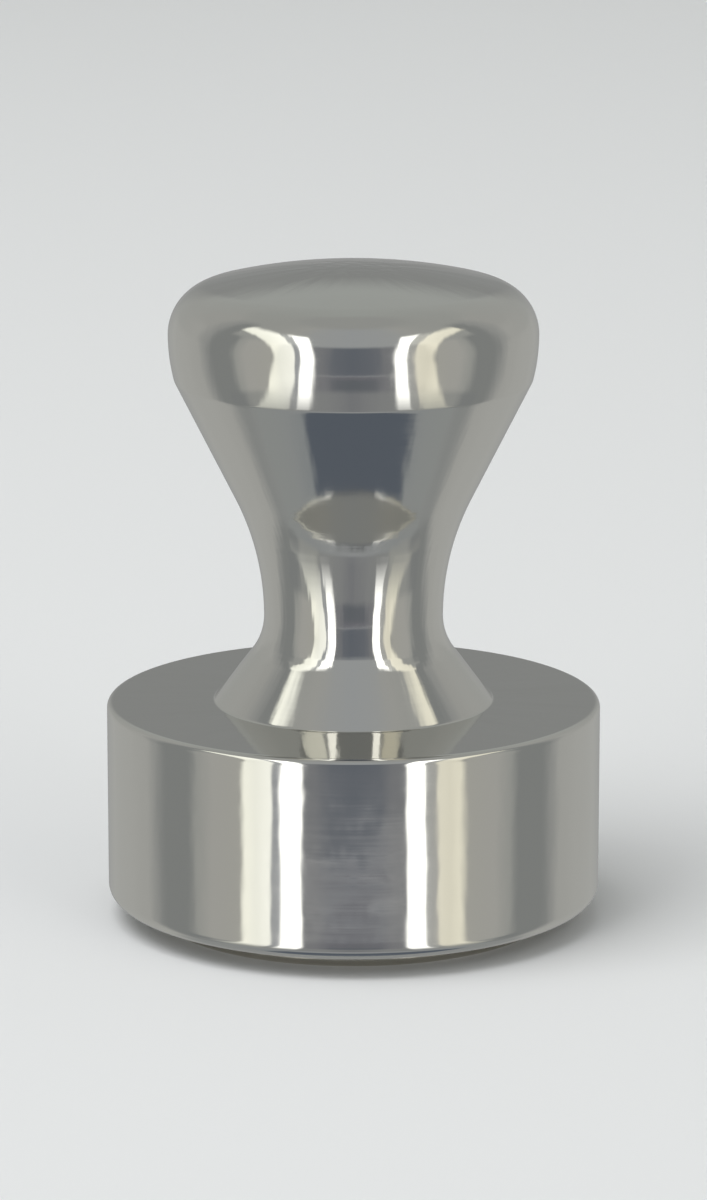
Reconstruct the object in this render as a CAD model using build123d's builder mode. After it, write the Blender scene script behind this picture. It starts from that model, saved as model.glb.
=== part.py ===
"""Magnetic push pin: a knob turned from steel bar, with a disc magnet glued into its foot.

The pin stands on its magnet. The axis of the knob is +Z, and the origin is the middle of the magnet's
lower face. Sizes are in millimetres, and heights stack up from that face: the magnet stands proud of
the foot's rim, then come the foot, the waist with its cone, and the head. Overall the pin measures
12 mm across and 16 mm high.
"""

import os
from math import acos, atan2, cos, degrees, hypot, radians, sin, tan

from build123d import *

# Disc magnet
magnet_diameter = 10.0
magnet_thickness = 4.0
magnet_edge_radius = 0.25
magnet_top_chamfer = 0.2
magnet_proud = 0.45

# Pocket in the foot that holds the magnet. Its corner is smaller than the magnet's chamfer, which clears it.
glue_clearance = 0.05
pocket_mouth_chamfer = 0.1
pocket_corner_share = 0.75

# Foot: the rim round the pocket, and the web between the pocket and the shoulder
rim_wall = 0.95
web_thickness = 1.35
rim_edge_radius = 0.35
shoulder_edge_radius = 0.16

# Waist: a flare off the shoulder, the narrowest ring, and the cone up to the crease under the head
flare_width = 1.23
waist_diameter = 4.34
waist_height = 2.1
flare_blend_share = 0.62
cone_blend_share = 0.73
crease_height = 7.9

# Head: the side bellies out above the crease, and the corner rolls over into a low crown
head_diameter = 8.9
crease_inset = 0.14
belly_height = 1.1
crown_corner_radius = 1.25
crown_edge_angle = 14.0

# Sizes that follow from those above
pocket_radius = magnet_diameter / 2 + glue_clearance
pocket_depth = magnet_thickness - magnet_proud
pocket_corner = pocket_corner_share * magnet_top_chamfer
foot_radius = pocket_radius + rim_wall
foot_height = pocket_depth + web_thickness
waist_radius = waist_diameter / 2
flare_radius = waist_radius + flare_width
head_radius = head_diameter / 2
crease_radius = head_radius - crease_inset

rim_z = magnet_proud
shoulder_z = rim_z + foot_height
waist_z = shoulder_z + waist_height
crease_z = shoulder_z + crease_height
belly_z = crease_z + belly_height

# The corner ends where the crown begins, with the crown's slope, so the crown is tangent to it.
corner_sweep = 90 - crown_edge_angle
crown_edge_radius = head_radius - crown_corner_radius * (1 - cos(radians(corner_sweep)))
crown_edge_z = belly_z + crown_corner_radius * sin(radians(corner_sweep))
crown_top_z = crown_edge_z + crown_edge_radius * tan(radians(crown_edge_angle) / 2)


def blend_arc(share, rise, reach):
    """Radius and sweep of an arc off the waist whose tangent runs on to a point `rise` along and `reach` out.

    The arc starts parallel to the axis. The largest arc that has room ends on the point itself, and
    `share` says how much of that radius this one has, so some of the way is always left straight.
    """
    radius = share * (rise**2 + reach**2) / (2 * reach)
    across = radius - reach
    return radius, degrees(atan2(rise, across) - acos(radius / hypot(across, rise)))


flare_blend, flare_sweep = blend_arc(flare_blend_share, waist_height, flare_radius - waist_radius)
cone_blend, cone_sweep = blend_arc(cone_blend_share, crease_z - waist_z, crease_radius - waist_radius)

# The knob is one turning: half its outline is revolved, then its edges are rounded and its pocket is bored.
with BuildPart() as knob:
    with BuildSketch(Plane.XZ) as knob_half:
        with BuildLine() as outline:
            waist, crease, belly = (waist_radius, waist_z), (crease_radius, crease_z), (head_radius, belly_z)
            Polyline((0, rim_z), (foot_radius, rim_z), (foot_radius, shoulder_z), (flare_radius, shoulder_z))
            flare = JernArc(start=waist, tangent=(0, -1), radius=flare_blend, arc_size=flare_sweep)
            Line((flare_radius, shoulder_z), flare @ 1)
            cone = JernArc(start=waist, tangent=(0, 1), radius=cone_blend, arc_size=-cone_sweep)
            Line(cone @ 1, crease)
            TangentArc(belly, crease, tangent=(0, -1))
            JernArc(start=belly, tangent=(0, 1), radius=crown_corner_radius, arc_size=corner_sweep)
            TangentArc((0, crown_top_z), (crown_edge_radius, crown_edge_z), tangent=(1, 0))
            Line((0, crown_top_z), (0, rim_z))
        make_face()
    revolve(axis=Axis.Z)

    foot_edges = knob.edges().filter_by(GeomType.CIRCLE).filter_by(lambda edge: edge.radius > flare_radius)
    rim_edge, shoulder_edge = foot_edges.filter_by_position(Axis.Z, rim_z, shoulder_z).sort_by(Axis.Z)
    fillet(rim_edge, min(rim_edge_radius, rim_wall / 2))
    fillet(shoulder_edge, shoulder_edge_radius)

    with BuildSketch(Plane.XY.offset(rim_z)) as pocket_circle:
        Circle(pocket_radius)
    extrude(amount=pocket_depth, mode=Mode.SUBTRACT)
    pocket_edges = knob.edges().filter_by(GeomType.CIRCLE).filter_by(
        lambda edge: abs(edge.radius - pocket_radius) < glue_clearance / 10
    )
    mouth_edge, corner_edge = pocket_edges.sort_by(Axis.Z)
    chamfer(corner_edge, pocket_corner)
    chamfer(mouth_edge, min(pocket_mouth_chamfer, rim_wall / 4))

# The magnet seats face to face on the pocket's ceiling, with glue in the gap round it.
with BuildPart() as magnet:
    Cylinder(magnet_diameter / 2, magnet_thickness, align=(Align.CENTER, Align.CENTER, Align.MIN))
    lower_edge, upper_edge = magnet.edges().filter_by(GeomType.CIRCLE).sort_by(Axis.Z)
    fillet(lower_edge, magnet_edge_radius)
    chamfer(upper_edge, magnet_top_chamfer)

knob.part.label = "knob"
magnet.part.label = "magnet"

os.makedirs("parts", exist_ok=True)
export_step(knob.part, "parts/knob.step")
export_step(magnet.part, "parts/magnet.step")

print(f"knob {knob.part.volume:.2f} mm3, magnet {magnet.part.volume:.2f} mm3")
print(f"overall {2 * foot_radius:.2f} mm across, {crown_top_z:.2f} mm high")
print(f"cone half-angle {cone_sweep:.1f} degrees, flare half-angle {flare_sweep:.1f} degrees")
print(f"cone blend radius {cone_blend:.2f} mm, flare blend radius {flare_blend:.2f} mm")
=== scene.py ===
# %% [markdown]
# Magnetic push pin: one polished metal knob, with a disc magnet glued into its foot.
#
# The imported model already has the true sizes. This lesson dresses it. Both pieces are made again as very
# fine surfaces of revolution, because a mirror finish shows every facet, and each gets the finish of its
# own metal. Lengths are written in millimetres, as on a workshop drawing, and turned into metres where a
# mesh is made.

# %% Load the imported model
import math

import bpy
import numpy as np
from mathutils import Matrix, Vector


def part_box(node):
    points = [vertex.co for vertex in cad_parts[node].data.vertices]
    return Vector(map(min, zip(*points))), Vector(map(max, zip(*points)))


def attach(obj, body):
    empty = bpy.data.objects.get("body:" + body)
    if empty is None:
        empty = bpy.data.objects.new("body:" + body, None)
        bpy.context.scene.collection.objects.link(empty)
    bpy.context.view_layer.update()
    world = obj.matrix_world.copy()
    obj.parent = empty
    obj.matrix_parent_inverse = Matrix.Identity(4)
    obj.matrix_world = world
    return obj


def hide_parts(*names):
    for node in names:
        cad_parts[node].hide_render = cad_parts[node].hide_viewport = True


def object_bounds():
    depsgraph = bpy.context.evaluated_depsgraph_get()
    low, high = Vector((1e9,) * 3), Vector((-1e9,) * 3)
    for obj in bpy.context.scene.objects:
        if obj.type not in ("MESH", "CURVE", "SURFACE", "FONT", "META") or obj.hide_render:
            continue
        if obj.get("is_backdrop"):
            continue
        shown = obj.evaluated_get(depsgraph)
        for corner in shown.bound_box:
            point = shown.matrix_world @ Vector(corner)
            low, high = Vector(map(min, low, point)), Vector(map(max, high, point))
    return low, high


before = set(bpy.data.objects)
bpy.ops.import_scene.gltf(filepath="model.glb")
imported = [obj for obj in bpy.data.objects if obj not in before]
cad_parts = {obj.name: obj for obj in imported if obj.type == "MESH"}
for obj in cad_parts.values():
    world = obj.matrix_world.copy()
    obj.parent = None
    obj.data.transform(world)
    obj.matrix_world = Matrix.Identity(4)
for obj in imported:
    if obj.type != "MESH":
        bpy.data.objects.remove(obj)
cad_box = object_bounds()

MM = 0.001
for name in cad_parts:
    low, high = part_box(name)
    print(name, "from", [round(v / MM, 2) for v in low], "to", [round(v / MM, 2) for v in high], "mm")

# %% [markdown]
# A lathe cuts a round piece by following one outline, its profile. The same profile could be drawn by hand
# as a curve. Here it is a list of straight runs, and of arcs that leave a point in a known direction,
# because those are what the workshop drawing gives. The radius is the first number of a point and the
# height is the second.

# %% Straight runs of an outline
def run(*corners, step=0.01):
    """Straight runs through the corners, with a point about every step: start plus share times difference."""
    parts = []
    for a, b in zip(corners[:-1], corners[1:]):
        a, b = np.array(a, float), np.array(b, float)
        count = max(2, int(np.linalg.norm(b - a) / step))
        parts.append(a + np.linspace(0, 1, count, endpoint=False)[:, None] * (b - a))
    return np.vstack(parts + [np.array([corners[-1]], float)])


print("a run of 1 mm has", len(run((0, 0), (1, 0))), "points")

# %% Arcs of an outline
def arc(start, heading, end, step=0.01):
    """Arc that leaves start along heading, in degrees from the outward direction, and ends on end.

    Its centre lies square to the heading, as far off as is also its distance from end: the chord's length
    squared over twice the chord's part along that normal.
    """
    start, end = np.array(start, float), np.array(end, float)
    h = math.radians(heading)
    ahead, normal = np.array([math.cos(h), math.sin(h)]), np.array([-math.sin(h), math.cos(h)])
    chord = end - start
    radius = chord @ chord / (2 * chord @ normal)
    centre = start + radius * normal
    sweep = 2 * math.atan2(chord @ normal, chord @ ahead)
    t = np.linspace(0, sweep, max(8, int(abs(radius * sweep) / step)))[:, None]
    spoke = start - centre
    return centre + np.cos(t) * spoke + np.sin(t) * np.array([-spoke[1], spoke[0]])


print("a quarter turn of radius 1 ends at", arc((1, 0), 90, (0, 1))[-1].round(6))

# %% [markdown]
# The knob is turned from bar. From the board up it has a wide foot, bored out for the magnet, then a short
# flare into a narrow waist, and a long cone that spreads to the head. The head bellies out over a crease,
# where the fingers pull, and rolls over into a low crown.

# %% Sizes of the knob
rim_z, pocket_z, shoulder_z, waist_z, crease_z, belly_z = 0.45, 4.0, 5.35, 7.45, 13.25, 14.35
pocket_r, foot_r, flare_r, waist_r, crease_r, head_r = 5.05, 6.0, 3.4, 2.17, 4.31, 4.45
pocket_corner, mouth_chamfer, rim_edge, shoulder_edge = 0.15, 0.1, 0.35, 0.16
flare_share, cone_share = 0.62, 0.73
crown_corner, crown_slope = 1.25, 14.0
cad_width = (cad_box[1].x - cad_box[0].x) / MM
print("the foot is", 2 * foot_r, "mm across, and the model is", round(cad_width, 3), "mm")

# %% Arcs of the waist and the crown
def waist_arc_end(share, rise, reach):
    """Where an arc off the waist turns into the straight run that ends rise along and reach out.

    The largest arc that has room ends on that point itself, and share says how much of its radius is used.
    """
    radius = share * (rise**2 + reach**2) / (2 * reach)
    across = radius - reach
    sweep = math.atan2(rise, across) - math.acos(radius / math.hypot(across, rise))
    return radius * (1 - math.cos(sweep)), radius * math.sin(sweep)


waist = (waist_r, waist_z)
flare_out, flare_down = waist_arc_end(flare_share, waist_z - shoulder_z, flare_r - waist_r)
flare_end = (waist_r + flare_out, waist_z - flare_down)
cone_out, cone_up = waist_arc_end(cone_share, crease_z - waist_z, crease_r - waist_r)
cone_end = (waist_r + cone_out, waist_z + cone_up)
turn = math.radians(90 - crown_slope)
crown_edge = (head_r - crown_corner * (1 - math.cos(turn)), belly_z + crown_corner * math.sin(turn))
crown_top = (0, crown_edge[1] + crown_edge[0] * math.tan(math.radians(crown_slope) / 2))
cad_top = cad_box[1].z / MM
print("the crown is at", round(crown_top[1], 3), "mm, and the model's top at", round(cad_top, 3), "mm")

# %% Outline of the knob
knob_outline = np.vstack([
    run((0, pocket_z), (pocket_r - pocket_corner, pocket_z), (pocket_r, pocket_z - pocket_corner),
        (pocket_r, rim_z + mouth_chamfer), (pocket_r + mouth_chamfer, rim_z), (foot_r - rim_edge, rim_z)),
    arc((foot_r - rim_edge, rim_z), 0, (foot_r, rim_z + rim_edge))[1:],
    run((foot_r, rim_z + rim_edge), (foot_r, shoulder_z - shoulder_edge))[1:],
    arc((foot_r, shoulder_z - shoulder_edge), 90, (foot_r - shoulder_edge, shoulder_z))[1:],
    run((foot_r - shoulder_edge, shoulder_z), (flare_r, shoulder_z), flare_end)[1:],
    arc(waist, -90, flare_end)[::-1][1:],
    arc(waist, 90, cone_end)[1:],
    run(cone_end, (crease_r, crease_z))[1:],
    arc((head_r, belly_z), -90, (crease_r, crease_z))[::-1][1:],
    arc((head_r, belly_z), 90, crown_edge)[1:],
    arc(crown_top, 0, crown_edge)[::-1][1:],
])
start, end = knob_outline[0], knob_outline[-1].round(3)
print("outline of the knob:", len(knob_outline), "points, from", start, "to", end)

# %% [markdown]
# A fresh cut has sharp edges, and polishing rounds each of them by a few hundredths of a millimetre. That
# little round is what catches the light as a thin line. A Bevel modifier could round the edges too, each
# with the same few faces. Here the whole outline is smoothed by a weighted average instead, which rounds
# the corners and leaves straight runs straight, and the mesh gets its rows where the outline bends.

# %% Polish an outline
def polish(outline, blur=0.025, step=0.005):
    """Average of the outline with bell-shaped weights, blur wide, mirrored over the axis at both ends.

    The weights reach out to four times blur. Points that repeat the one before them are dropped first.
    """
    smallest_gap = 1e-9
    gaps = np.hypot(*np.diff(outline, axis=0).T)
    along = np.concatenate([[0], np.cumsum(gaps)])
    keep = np.concatenate([[True], gaps > smallest_gap])
    even = np.linspace(0, along[-1], int(along[-1] / step) + 1)
    dense = np.stack([np.interp(even, along[keep], outline[keep, i]) for i in (0, 1)], axis=1)
    reach = int(4 * blur / step)
    mirror = np.array([-1, 1])
    padded = np.vstack([dense[reach:0:-1] * mirror, dense, dense[-2:-reach - 2:-1] * mirror])
    weights = np.exp(-0.5 * (np.arange(-reach, reach + 1) * step / blur) ** 2)
    smooth = np.stack([np.convolve(padded[:, i], weights / weights.sum(), "valid") for i in (0, 1)], axis=1)
    smooth[[0, -1], 0] = 0
    return smooth


polished = polish(knob_outline)
crease_gap = np.hypot(*(polished - np.array([crease_r, crease_z])).T).min()
print("polishing drew the metal back from the crease's sharp corner by", round(crease_gap, 4), "mm")

# %% Directions and lengths of an outline
def outward(points):
    """Unit normals of an outline that keeps the metal on its left: the slope turned a quarter turn right."""
    slope = np.gradient(points, axis=0)
    slope /= np.hypot(*slope.T)[:, None]
    return np.stack([slope[:, 1], -slope[:, 0]], axis=1)


def lengths(points):
    """Length along the outline up to each point: the running sum of the distances between points."""
    return np.concatenate([[0], np.cumsum(np.hypot(*np.diff(points, axis=0).T))])


print("the tool's path over the knob is", round(lengths(polished)[-1], 2), "mm long")

# %% [markdown]
# Where the tool changes direction it dwells for a moment and leaves rings that polishing doesn't quite
# remove. They are at most a thousandth of a millimetre high, but a mirror shows them as a ladder of fine
# lines across each reflection. A bump in the material would do as well. They are in the outline, so they also
# shape the mesh.

# %% Turning rings
def rings(points, middle, spread, pitch, height):
    """Three sines of the length along the outline, added outwards and fading away from one height.

    Their pitches have no small common multiple, so the rings come unevenly, as a tool leaves them.
    """
    along = lengths(points)
    outside = np.arange(len(points)) > np.argmax(points[:, 0])
    wave = sum(np.sin(2 * np.pi * along / (pitch * uneven) + uneven) for uneven in (1.0, 1.37, 0.73)) / 3
    wave *= height * np.exp(-((points[:, 1] - middle) / spread) ** 4)
    return points + (wave * outside)[:, None] * outward(points)


turned = rings(polished, middle=9.4, spread=0.7, pitch=0.3, height=0.0006)
turned = rings(turned, middle=6.75, spread=0.35, pitch=0.2, height=0.0010)
ring_height = np.hypot(*(turned - polished).T).max()
print("the rings stand up to", round(1000 * ring_height, 2), "thousandths of a millimetre proud")

# %% [markdown]
# The surface is a function of two parameters: how far along the outline, and the angle round the axis.
# Every point is the outline's radius turned by the angle, at the outline's height. The Screw modifier does
# the same. Here the angle starts again where it began, so the seam closes by itself, and each end on the
# axis is one point with a fan of triangles. The normals come from the outline too, so reflections run as on
# a true curve.

# %% Choose the rows of the mesh
def choose(smooth, longest=0.25, turn=2.0):
    """Points where the length so far over longest, plus the bend so far over turn, passes a whole number.

    Lengths are in millimetres and the bend in degrees. A row has five columns: radius, height, the two parts
    of its normal, and the length of the outline up to it.
    """
    ahead = np.diff(smooth, axis=0)
    heading = np.unwrap(np.arctan2(ahead[:, 1], ahead[:, 0]))
    bend = np.degrees(np.abs(np.diff(heading, prepend=heading[0])))
    cost = np.concatenate([[0], np.cumsum(np.hypot(*ahead.T) / longest + bend / turn)])
    wanted = np.linspace(0, cost[-1], int(cost[-1]) + 2)
    columns = np.column_stack([smooth, outward(smooth), lengths(smooth)])
    return np.stack([np.interp(wanted, cost, column) for column in columns.T], axis=1)


rows = choose(turned)
print(len(turned), "points of the knob's outline become", len(rows), "rows")

# %% Points and normals of a surface of revolution
def turn_about_axis(half, around):
    """(first x cos angle, first x sin angle, second) for each row and angle, then one point for each end."""
    angle = 2 * np.pi * np.arange(around) / around
    grid = np.empty((len(half) - 2, around, 3))
    grid[..., 0] = half[1:-1, None, 0] * np.cos(angle)
    grid[..., 1] = half[1:-1, None, 0] * np.sin(angle)
    grid[..., 2] = half[1:-1, None, 1]
    return np.vstack([grid.reshape(-1, 3), [[0, 0, half[0, 1]], [0, 0, half[-1, 1]]]])


print("a ring of 4 columns:", turn_about_axis(np.array([[0, 0], [1, 0.5], [0, 1]]), 4).round(3).tolist())

# %% Faces of a surface of revolution
def join_rows(count, around):
    """Four-sided faces between neighbouring rows, and a fan of triangles at each end, as corner numbers."""
    column = np.arange(around)
    after = (column + 1) % around
    first = (np.arange(count - 1) * around)[:, None]
    second = first + around
    quads = np.stack([first + column, first + after, second + after, second + column], axis=-1)
    last = (count - 1) * around
    start_fan = np.stack([np.full(around, count * around), after, column], axis=1)
    end_fan = np.stack([last + column, last + after, np.full(around, count * around + 1)], axis=1)
    corners = np.concatenate([quads.ravel(), start_fan.ravel(), end_fan.ravel()]).astype(np.int32)
    sides = np.concatenate([np.full((count - 1) * around, 4), np.full(2 * around, 3)])
    return corners, np.concatenate([[0], np.cumsum(sides)[:-1]]).astype(np.int32)


print("2 rows of 6 points make", len(join_rows(2, 6)[1]), "faces")

# %% Flat map of a surface of revolution
def unroll(share, around):
    """u is the share of the turn and v the share of the length, for each corner in the faces' own order."""
    column, count = np.arange(around), len(share) - 2
    u_quad = np.tile(np.stack([column, column + 1, column + 1, column], axis=-1), (count - 1, 1))
    v_low, v_high = np.repeat(share[1:-2], around), np.repeat(share[2:-1], around)
    v_quad = np.stack([v_low, v_low, v_high, v_high], axis=-1)
    u_start = np.stack([column + 0.5, column + 1, column], axis=-1)
    u_end = np.stack([column, column + 1, column + 0.5], axis=-1)
    v_start = np.tile([share[0], share[1], share[1]], around)
    v_end = np.tile([share[-2], share[-2], share[-1]], around)
    u = np.concatenate([u_quad.ravel(), u_start.ravel(), u_end.ravel()]) / around
    return np.stack([u, np.concatenate([v_quad.ravel(), v_start, v_end])], axis=1)


FLAT_MAP = "around_along"
knob_columns = 192
knob_map = unroll(rows[:, 4] / rows[-1, 4], knob_columns)
print("the flat map of the knob has", len(knob_map), "corners")

# %% Spin an outline into a closed mesh
def spin(name, smooth, around):
    """Closed mesh of revolution with its flat map and its normals, as an object at the origin."""
    half = choose(smooth)
    points, facing = (turn_about_axis(half[:, i:i + 2], around) for i in (0, 2))
    corners, starts = join_rows(len(half) - 2, around)
    mesh = bpy.data.meshes.new(name)
    mesh.vertices.add(len(points))
    mesh.vertices.foreach_set("co", (points * MM).ravel())
    mesh.loops.add(len(corners))
    mesh.loops.foreach_set("vertex_index", corners)
    mesh.polygons.add(len(starts))
    mesh.polygons.foreach_set("loop_start", starts)
    mesh.update(calc_edges=True)
    flat_map = mesh.uv_layers.new(name=FLAT_MAP)
    flat_map.data.foreach_set("uv", unroll(half[:, 4] / half[-1, 4], around).ravel())
    mesh.shade_smooth()
    mesh.normals_split_custom_set_from_vertices(facing.tolist())
    mesh.validate()
    piece = bpy.data.objects.new(name, mesh)
    bpy.context.collection.objects.link(piece)
    triangles = sum(len(face.vertices) - 2 for face in mesh.polygons)
    print(name, "has", len(half), "rows,", around, "columns and", triangles, "triangles")
    return piece


knob = spin("polished_knob", turned, around=knob_columns)

# %% [markdown]
# The magnet is a plain disc, pressed from powder, ground flat and plated in a barrel. Its edges are
# rounded, so that the brittle body inside doesn't chip.

# %% Outline and surface of the magnet
magnet_r, magnet_top, magnet_edge, magnet_top_chamfer = 5.0, 4.0, 0.25, 0.2
magnet_outline = np.vstack([
    run((0, 0), (magnet_r - magnet_edge, 0)),
    arc((magnet_r - magnet_edge, 0), 0, (magnet_r, magnet_edge))[1:],
    run((magnet_r, magnet_edge), (magnet_r, magnet_top - magnet_top_chamfer),
        (magnet_r - magnet_top_chamfer, magnet_top), (0, magnet_top))[1:],
])
magnet = spin("plated_magnet", polish(magnet_outline, blur=0.01), around=160)

# %% [markdown]
# Colours are written as on a paint chart, in sRGB, and Blender calculates in linear light. One small
# function turns the one into the other. One more adds a node to a material, with its settings and its
# links, so that a material reads as a list of nodes. A ramp's colours are among a node's settings.

# %% Colours
def linear(code):
    """Linear colour of an sRGB hex value: the power 2.4 curve, with its short straight piece near black."""
    channels = [int(code[i:i + 2], 16) / 255 for i in (1, 3, 5)]
    return [c / 12.92 if c <= 0.04045 else ((c + 0.055) / 1.055) ** 2.4 for c in channels] + [1.0]


print("mid grey #808080 is", round(linear("#808080")[0], 3), "in linear light")

# %% Nodes
def add(tree, kind, settings=(), stops=(), **inputs):
    """Adds a node, sets its settings and a ramp's stops, and gives each input its value or its link.

    An input is named as in Blender, with _ for a space, or by its number, as i0 for the first. A ramp's stops
    are (position, sRGB hex value), in order.
    """
    node = tree.nodes.new(kind)
    for key, value in dict(settings).items():
        setattr(node, key, value)
    if stops:
        for mark, (position, code) in zip(node.color_ramp.elements, (stops[0], stops[-1])):
            mark.position, mark.color = position, linear(code)
    for position, code in stops[1:-1]:
        node.color_ramp.elements.new(position).color = linear(code)
    for key, value in inputs.items():
        socket = node.inputs[int(key[1:]) if key[1:].isdigit() else key.replace("_", " ")]
        if isinstance(value, bpy.types.NodeSocket):
            tree.links.new(value, socket)
        else:
            socket.default_value = value
    return node


def new_material(name):
    """Empty material and its node tree."""
    material = bpy.data.materials.new(name)
    material.use_nodes = True
    material.node_tree.nodes.clear()
    return material, material.node_tree


trial, tree = new_material("trial")
trial_ramp = add(tree, "ShaderNodeValToRGB", stops=[(0.2, "#000000"), (0.5, "#808080"), (0.9, "#ffffff")])
print("a ramp with its stops at", [round(mark.position, 2) for mark in trial_ramp.color_ramp.elements])
bpy.data.materials.remove(trial)

# %% [markdown]
# The knob is turned from free-cutting steel, barrel polished and plated with bright nickel. Bright nickel
# is a mirror, but never a perfect one. The tool leaves fine lines round the piece, the polish leaves it
# faintly wavy, and both make the edges of its reflections tremble. A picture of scratches could be laid
# over it. Here the marks are worked out from the angle and from the length along the outline, so they
# follow every curve.

# %% Coordinates of marks round a turned piece
TIMES = {"operation": "MULTIPLY"}
LARGER = {"operation": "MAXIMUM"}


def round_coordinates(tree, length, across, along, core=1.2):
    """Noise coordinates of a turned piece: x and y over the radius, times across, and along per millimetre.

    Inside the core they are over the core's radius instead, and the way along levels off there, so that
    nothing pinches together on the axis.
    """
    place = add(tree, "ShaderNodeTexCoord").outputs["Object"]
    flat = add(tree, "ShaderNodeVectorMath", TIMES, i0=place, i1=(1, 1, 0)).outputs[0]
    radius = add(tree, "ShaderNodeVectorMath", {"operation": "LENGTH"}, i0=flat).outputs["Value"]
    limit = add(tree, "ShaderNodeMath", LARGER, i0=radius, i1=core * MM).outputs[0]
    share = add(tree, "ShaderNodeMath", {"operation": "DIVIDE"}, i0=across, i1=limit).outputs[0]
    circle = add(tree, "ShaderNodeVectorMath", {"operation": "SCALE"}, i0=flat, Scale=share).outputs[0]
    uv = add(tree, "ShaderNodeUVMap", {"uv_map": FLAT_MAP}).outputs[0]
    climb = add(tree, "ShaderNodeSeparateXYZ", Vector=uv).outputs["Y"]
    rise = add(tree, "ShaderNodeMath", TIMES, i0=climb, i1=along * length).outputs[0]
    rise = add(tree, "ShaderNodeMath", {"operation": "SMOOTH_MIN"}, i0=rise,
               i1=along * (length - core / 2), i2=along * core / 2).outputs[0]
    lift = add(tree, "ShaderNodeCombineXYZ", Z=rise).outputs[0]
    return add(tree, "ShaderNodeVectorMath", {"operation": "ADD"}, i0=circle, i1=lift).outputs[0]


knob_length = lengths(turned)[-1]
print("the marks are laid along", round(knob_length, 2), "mm of outline")

# %% Bright nickel plate on turned steel
nickel, tree = new_material("bright_nickel_plate_on_turned_steel")
wave_height, dab_height, line_depth = 0.020, 0.0034, 0.0005
# Tool lines: about five to the millimetre, a few millimetres long and half a thousandth of one deep.
place = round_coordinates(tree, knob_length, across=1.6, along=5.0)
lines = add(tree, "ShaderNodeTexNoise", Vector=place, Scale=1.0, Detail=2.0)
# Polishing waves: on the foot two millimetres wide, five long and up to two hundredths of one high.
place = round_coordinates(tree, knob_length, across=3.0, along=0.2)
waves = add(tree, "ShaderNodeTexNoise", Vector=place, Scale=1.0, Detail=1.0)
# Dabs of the polish on top of the waves: half a millimetre wide there, one long, and much lower.
place = round_coordinates(tree, knob_length, across=14.0, along=0.9)
dabs = add(tree, "ShaderNodeTexNoise", Vector=place, Scale=1.0, Detail=1.0)
long_bump = add(tree, "ShaderNodeBump", Strength=1.0, Distance=wave_height * MM, Height=waves.outputs["Fac"])
short_bump = add(tree, "ShaderNodeBump", Strength=1.0, Distance=dab_height * MM, Height=dabs.outputs["Fac"],
                 Normal=long_bump.outputs[0])
marks = add(tree, "ShaderNodeBump", Strength=1.0, Distance=line_depth * MM, Height=lines.outputs["Fac"],
            Normal=short_bump.outputs[0])
# Haze: the plate is a little duller in patches, where it was rubbed.
place = round_coordinates(tree, knob_length, across=2.0, along=2.5)
haze = add(tree, "ShaderNodeTexNoise", Vector=place, Scale=1.0, Detail=4.0)
rough = add(tree, "ShaderNodeMapRange", Value=haze.outputs["Fac"], From_Min=0.3, From_Max=0.7,
            To_Min=0.05, To_Max=0.09)
shader = add(tree, "ShaderNodeBsdfPrincipled", Base_Color=linear("#d0cfcb"), Metallic=1.0,
             Roughness=rough.outputs[0], Normal=marks.outputs[0])
add(tree, "ShaderNodeOutputMaterial", Surface=shader.outputs[0])
knob.data.materials.append(nickel)
print(nickel.name, "has", len(tree.nodes), "nodes")

# %% [markdown]
# The magnet is nickel plated too, over a body of pressed powder. Its plate follows the grain of that
# powder, so it is a little duller than the knob and finely pebbled, with grains of about a twentieth of a
# millimetre.

# %% Barrel nickel plate on a sintered magnet
plate, tree = new_material("barrel_nickel_plate_on_sintered_magnet")
grain_size, grain_height, cloud_size = 0.06, 0.001, 1.5
place = add(tree, "ShaderNodeTexCoord").outputs["Object"]
grain = add(tree, "ShaderNodeTexNoise", Vector=place, Scale=1 / (grain_size * MM), Detail=2.0)
pebbles = add(tree, "ShaderNodeBump", Strength=1.0, Distance=grain_height * MM, Height=grain.outputs["Fac"])
cloud = add(tree, "ShaderNodeTexNoise", Vector=place, Scale=1 / (cloud_size * MM), Detail=3.0)
rough = add(tree, "ShaderNodeMapRange", Value=cloud.outputs["Fac"], From_Min=0.3, From_Max=0.7,
            To_Min=0.16, To_Max=0.26)
shader = add(tree, "ShaderNodeBsdfPrincipled", Base_Color=linear("#d0ccc2"), Metallic=1.0,
             Roughness=rough.outputs[0], Normal=pebbles.outputs[0])
add(tree, "ShaderNodeOutputMaterial", Surface=shader.outputs[0])
magnet.data.materials.append(plate)
print(plate.name, "has", len(tree.nodes), "nodes")

# %% [markdown]
# The imported model holds the same two pieces as plain solids. They could stay and be painted, but their
# facets would show. So each new piece takes the place of its solid, which stays behind for collisions, and
# rides on the model's one body.

# %% Put both pieces in the model
for piece, node, slot in ((knob, "knob", "knob_plate"), (magnet, "magnet", "magnet_plate")):
    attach(piece, "root")
    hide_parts(node)
    low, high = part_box(node)
    size = [round((b - a) / MM, 3) for a, b in zip(low, high)]
    print(piece.name, "stands for", node, "which is", size, "mm")

# %% [markdown]
# A polished knob has hardly a colour of its own: it shows its surroundings. A photographer lights one in a
# tent, with strips of window let into pale cloth and a dark card straight ahead. The tent could be built of
# lamps and cards. Here it is painted on the world, which keeps every edge where it is wanted. The paint
# depends on two things: how far to the side a direction points, and how high above the horizon.

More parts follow.
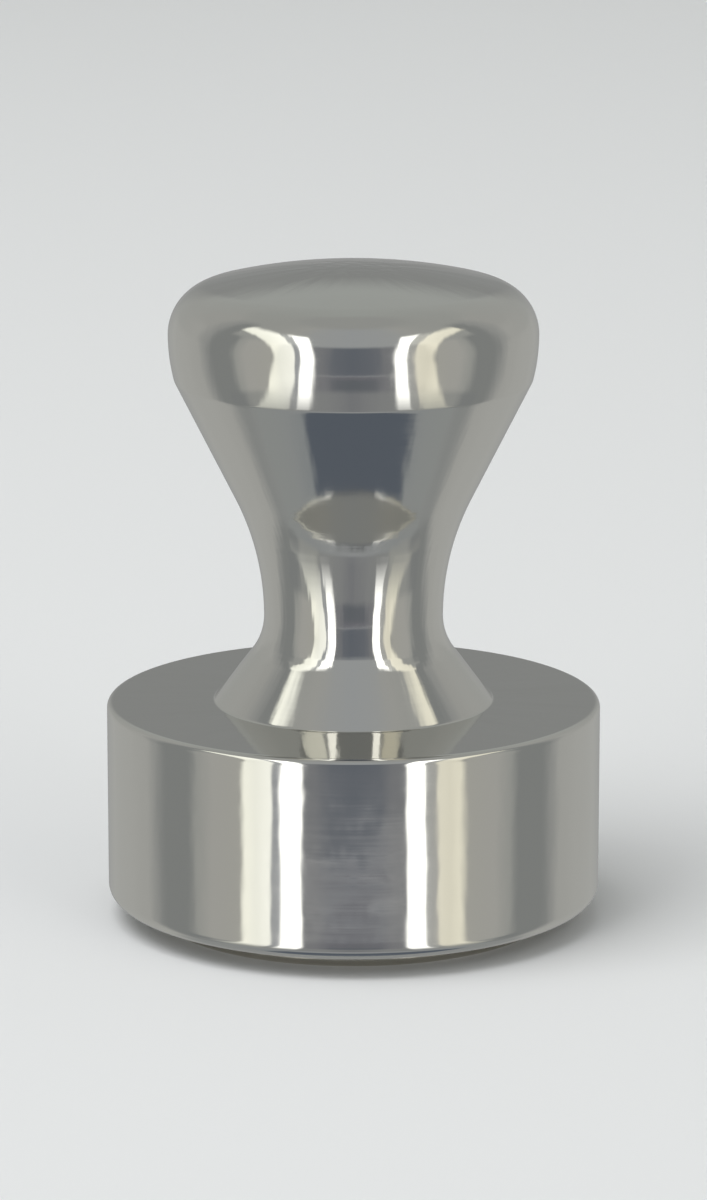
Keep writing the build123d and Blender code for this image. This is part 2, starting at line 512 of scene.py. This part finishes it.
# %% Directions in the room
scene = bpy.context.scene
scene.world = scene.world or bpy.data.worlds.new("room")
scene.world.use_nodes = True
tree = scene.world.node_tree
tree.nodes.clear()
direction = add(tree, "ShaderNodeTexCoord").outputs["Generated"]
way = add(tree, "ShaderNodeSeparateXYZ", Vector=direction).outputs
flat = add(tree, "ShaderNodeVectorMath", TIMES, i0=direction, i1=(1, 1, 0)).outputs[0]
flat = add(tree, "ShaderNodeVectorMath", {"operation": "NORMALIZE"}, i0=flat).outputs[0]
level = add(tree, "ShaderNodeSeparateXYZ", Vector=flat).outputs
# Both run from 0 at the far left over 0.5 in the middle to 1 at the far right: the first narrows towards
# the zenith, as a straight strip of window does, and the second is the same at every height.
sideways = add(tree, "ShaderNodeMapRange", Value=way["X"], From_Min=-1.0).outputs[0]
compass = add(tree, "ShaderNodeMapRange", Value=level["X"], From_Min=-1.0).outputs[0]
rise = add(tree, "ShaderNodeMath", {"operation": "ARCSINE"}, i0=way["Z"]).outputs[0]
height = add(tree, "ShaderNodeMath", TIMES, i0=rise, i1=math.degrees(1)).outputs[0]
print("a direction is described by", len(tree.nodes), "nodes")

# %% Paint in belts
SOFT = {"interpolation_type": "SMOOTHSTEP"}
COLOUR = {"data_type": "RGBA"}


def both_sides(*stops):
    """Stops of a ramp from those of its right half, 0 straight ahead to 1 at the side, and mirrored."""
    right = [(0.5 + p / 2, code) for p, code in stops]
    return [(1 - p, code) for p, code in reversed(right[1:])] + right


def paint(tree, belts):
    """Colour by height: each belt, a ramp over where, takes over from the last between its two heights."""
    colour = None
    for low, high, where, stops in belts:
        belt = add(tree, "ShaderNodeValToRGB", stops=stops, Fac=where).outputs[0]
        share = add(tree, "ShaderNodeMapRange", SOFT, Value=height, From_Min=low, From_Max=high).outputs[0]
        last = belt if colour is None else colour
        colour = add(tree, "ShaderNodeMix", COLOUR, i0=share, i6=last, i7=belt).outputs[2]
    return colour


print("stops on both sides:", both_sides((0, "#000000"), (0.5, "#808080"), (1, "#ffffff")))

# %% In front
side = ((0.72, "#96989a"), (0.80, "#cbcbc5"), (0.94, "#cacac6"), (0.978, "#bcbebb"), (0.99, "#9fa2a2"),
        (1, "#9fa2a2"))
in_front = paint(tree, (
    (-90, -89, sideways, [(0, "#b4b8b8"), (0.20, "#a8acad"), (0.297, "#a6abae"), (0.323, "#6d7581"),
                          (0.738, "#6d7581"), (0.760, "#a8adb2"), (0.85, "#adb1b3"), (1, "#b4b8b8")]),
    (-60, -57, compass, both_sides((0, "#b4b7ba"), (0.9, "#acb0b2"), (1, "#aeb2b2"))),
    (-49, -45, compass, both_sides((0, "#95979c"), (0.3, "#a2a4a6"), (0.72, "#a6a8a8"), (0.8, "#b8bab6"),
                                   (0.95, "#b4b6b4"), (0.985, "#9c9fa0"), (1, "#9c9fa0"))),
    (-28, -24, compass, both_sides((0, "#7a7f86"), (0.2, "#7f838a"), (0.31, "#98999e"), *side)),
    (-19.5, -17.8, compass, both_sides((0, "#86878f"), (0.2, "#8a8b93"), (0.31, "#98999e"), *side)),
    (-16.5, -16.35, compass, both_sides((0, "#c0c2c8"), (0.2, "#c2c4c8"), (0.31, "#c2c3c5"), *side)),
    (-16.1, -15.75, compass, both_sides((0, "#7a808a"), (0.2, "#80858e"), (0.31, "#94969b"), *side)),
    (26, 34, compass, both_sides((0, "#bcc0c3"), (0.5, "#bec1c2"), (0.8, "#c2c3c0"), (1, "#bcbebb"))),
))
print("the front takes", len(tree.nodes), "nodes so far")

# %% Behind
# Square to the side, the back has the front's grey, so that no step shows where the two meet.
meeting = ((0.97, "#b2b4b3"), (0.99, "#9fa2a2"), (1, "#9fa2a2"))
behind = paint(tree, (
    (-90, -89, compass, both_sides((0, "#b0b3b3"), (1, "#aeb1b1"))),
    (-52, -42, compass, both_sides((0, "#a8a9a8"), (0.15, "#aaabaa"), (0.5, "#c6c7c4"), (0.8, "#cbccc9"),
                                   (0.93, "#c8c9c6"), *meeting)),
    (0, 8, compass, both_sides((0, "#9ea09f"), (0.15, "#a2a4a3"), (0.4, "#bcbebb"), (0.9, "#c8c9c6"),
                               *meeting)),
    (18, 30, compass, both_sides((0, "#bfc3c0"), (0.9, "#c2c3c0"), *meeting)),
    (46, 56, compass, both_sides((0, "#bfc3c0"), (1, "#bcbebb"))),
))
front = add(tree, "ShaderNodeMapRange", SOFT, Value=way["Y"], From_Min=0.03, From_Max=-0.03).outputs[0]
walls = add(tree, "ShaderNodeMix", COLOUR, i0=front, i6=behind, i7=in_front).outputs[2]
overhead = add(tree, "ShaderNodeMapRange", SOFT, Value=height, From_Min=66.0, From_Max=78.0).outputs[0]
walls = add(tree, "ShaderNodeMix", COLOUR, i0=overhead, i6=walls, i7=linear("#b8bab8")).outputs[2]
print("the walls take", len(tree.nodes), "nodes so far")

# %% Windows
# Two strips on each side, with a glazing bar between them. The outer right one is warm, and both outer ones
# are dimmer.
window_light = 3.0
panes = add(tree, "ShaderNodeValToRGB", Fac=sideways, stops=[
    (0.110, "#000000"), (0.122, "#a2a298"), (0.203, "#b4b4ac"), (0.209, "#4c4e50"), (0.231, "#4c4e50"),
    (0.241, "#f0f0ec"), (0.298, "#f0f0ec"), (0.310, "#000000"), (0.696, "#000000"), (0.710, "#f0f0ec"),
    (0.766, "#f0f0ec"), (0.773, "#5c5c58"), (0.803, "#5c5b56"), (0.811, "#9a9686"), (0.872, "#908c7c"),
    (0.889, "#000000")]).outputs[0]
sill = add(tree, "ShaderNodeMapRange", SOFT, Value=height, From_Min=-46.0, From_Max=-18.0).outputs[0]
lintel = add(tree, "ShaderNodeMapRange", SOFT, Value=height, From_Min=52.0, From_Max=45.0).outputs[0]
tall = add(tree, "ShaderNodeMath", TIMES, i0=sill, i1=lintel).outputs[0]
tall = add(tree, "ShaderNodeMath", TIMES, i0=tall, i1=front).outputs[0]
glow = add(tree, "ShaderNodeMath", TIMES, i0=tall, i1=window_light).outputs[0]
windows = add(tree, "ShaderNodeVectorMath", {"operation": "SCALE"}, i0=panes, Scale=glow).outputs[0]
room = add(tree, "ShaderNodeVectorMath", {"operation": "ADD"}, i0=walls, i1=windows).outputs[0]
print("the windows are as bright as", round(window_light * linear("#f0f0ec")[0], 2), "white walls")

# %% What the camera sees of the room
# The metal mirrors the painted room. The camera looks past the pin at a plain pale backdrop instead.
room_light = 0.87
camera_ray = add(tree, "ShaderNodeLightPath").outputs["Is Camera Ray"]
seen = add(tree, "ShaderNodeMix", COLOUR, i0=camera_ray, i6=room, i7=linear("#efefed")).outputs[2]
background = add(tree, "ShaderNodeBackground", Color=seen, Strength=room_light)
add(tree, "ShaderNodeOutputWorld", Surface=background.outputs[0])
print("the room is drawn by", len(tree.nodes), "nodes")

# %% [markdown]
# The pin stands on a matt pale board. A pin on a real board mirrors it all the way up its foot, and would
# look plain white below. This board takes the pin's shadow, but it lets the metal's mirror rays through,
# except those that meet it within half a millimetre: so the foot shows the room, and only its lowest edge
# and the magnet pick up the board that they stand on. For a look at the underside, the board's back is
# clear, and so is the board to a ray that meets it within a twentieth of a millimetre, because such a ray
# starts at the magnet's lower face.

# %% Floor
half, drop = 2.0, 0.01 * MM
corners = [(-half, -half, -drop), (half, -half, -drop), (half, half, -drop), (-half, half, -drop)]
floor_mesh = bpy.data.meshes.new("floor")
floor_mesh.from_pydata(corners, [], [(0, 1, 2, 3)])
floor = bpy.data.objects.new("floor", floor_mesh)
bpy.context.collection.objects.link(floor)
board, tree = new_material("matt_pale_board")
matt = add(tree, "ShaderNodeBsdfDiffuse", Color=linear("#e2e3e5"))
clear = add(tree, "ShaderNodeBsdfTransparent")
touching_within, board_within, room_beyond = 0.05 * MM, 0.35 * MM, 0.7 * MM
path = add(tree, "ShaderNodeLightPath").outputs
length = path["Ray Length"]
far = add(tree, "ShaderNodeMapRange", SOFT, Value=length, From_Min=board_within,
          From_Max=room_beyond).outputs[0]
mirrored = add(tree, "ShaderNodeMath", TIMES, i0=path["Is Glossy Ray"], i1=far).outputs[0]
touching = add(tree, "ShaderNodeMath", {"operation": "LESS_THAN"}, i0=length, i1=touching_within).outputs[0]
back = add(tree, "ShaderNodeNewGeometry").outputs["Backfacing"]
underneath = add(tree, "ShaderNodeMath", LARGER, i0=touching, i1=back).outputs[0]
through = add(tree, "ShaderNodeMath", LARGER, i0=mirrored, i1=underneath).outputs[0]
mix = add(tree, "ShaderNodeMixShader", i0=through, i1=matt.outputs[0], i2=clear.outputs[0])
add(tree, "ShaderNodeOutputMaterial", Surface=mix.outputs[0])
floor_mesh.materials.append(board)
floor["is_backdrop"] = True
print("the floor is", 2 * half, "m wide")

# %% [markdown]
# One large soft lamp, up and to the left, gives the pin its shadow. It is hidden from the camera and from
# the mirror, because the windows already give the metal its highlights.

# %% Lamp
soft_box = bpy.data.lights.new("soft_box", "AREA")
soft_box.shape, soft_box.size, soft_box.energy = "SQUARE", 0.25, 0.75
lamp = bpy.data.objects.new("soft_box", soft_box)
lamp.location = (-0.12, -0.08, 0.35)
lamp.rotation_mode = "QUATERNION"
lamp.rotation_quaternion = (-lamp.location).to_track_quat("-Z", "Y")
lamp.visible_camera = lamp.visible_glossy = False
bpy.context.collection.objects.link(lamp)
print("the lamp hangs", round(lamp.location.length / MM), "mm away")

# %% [markdown]
# The photograph looks down on the pin by about thirteen degrees, which the ovals of its shoulder and rim
# tell. The camera stands in front of the pin at that angle and fills most of the frame with it.

# %% Camera
photo_width, photo_height = 707, 1200
distance, camera_z, aim_below_middle, foot_share = 121 * MM, 35.75 * MM, 0.2 * MM, 0.70
low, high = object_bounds()
aim = (low + high) / 2 - Vector((0, 0, aim_below_middle))
camera = bpy.data.objects.new("camera", bpy.data.cameras.new("camera"))
camera.location = (0, -distance, camera_z)
sight = aim - camera.location
camera.rotation_mode = "QUATERNION"
camera.rotation_quaternion = sight.to_track_quat("-Z", "Y")
frame_height = 2 * foot_r * MM / foot_share * photo_height / photo_width
camera.data.lens = camera.data.sensor_width * sight.length / frame_height
camera.data.clip_start, camera.data.clip_end = 0.005, 10
bpy.context.collection.objects.link(camera)
scene.camera = camera
print("the camera is", round(sight.length / MM, 1), "mm away and looks down by",
      round(math.degrees(math.asin(-sight.z / sight.length)), 1), "degrees")

# %% [markdown]
# A finish must not change the size of the thing. The box round the solids was taken at the start, and the
# foot's width and the crown's height were printed beside it. Last, the colours are shown without a tone
# curve.

# %% Colour view, and the end
scene.view_settings.view_transform = "Standard"
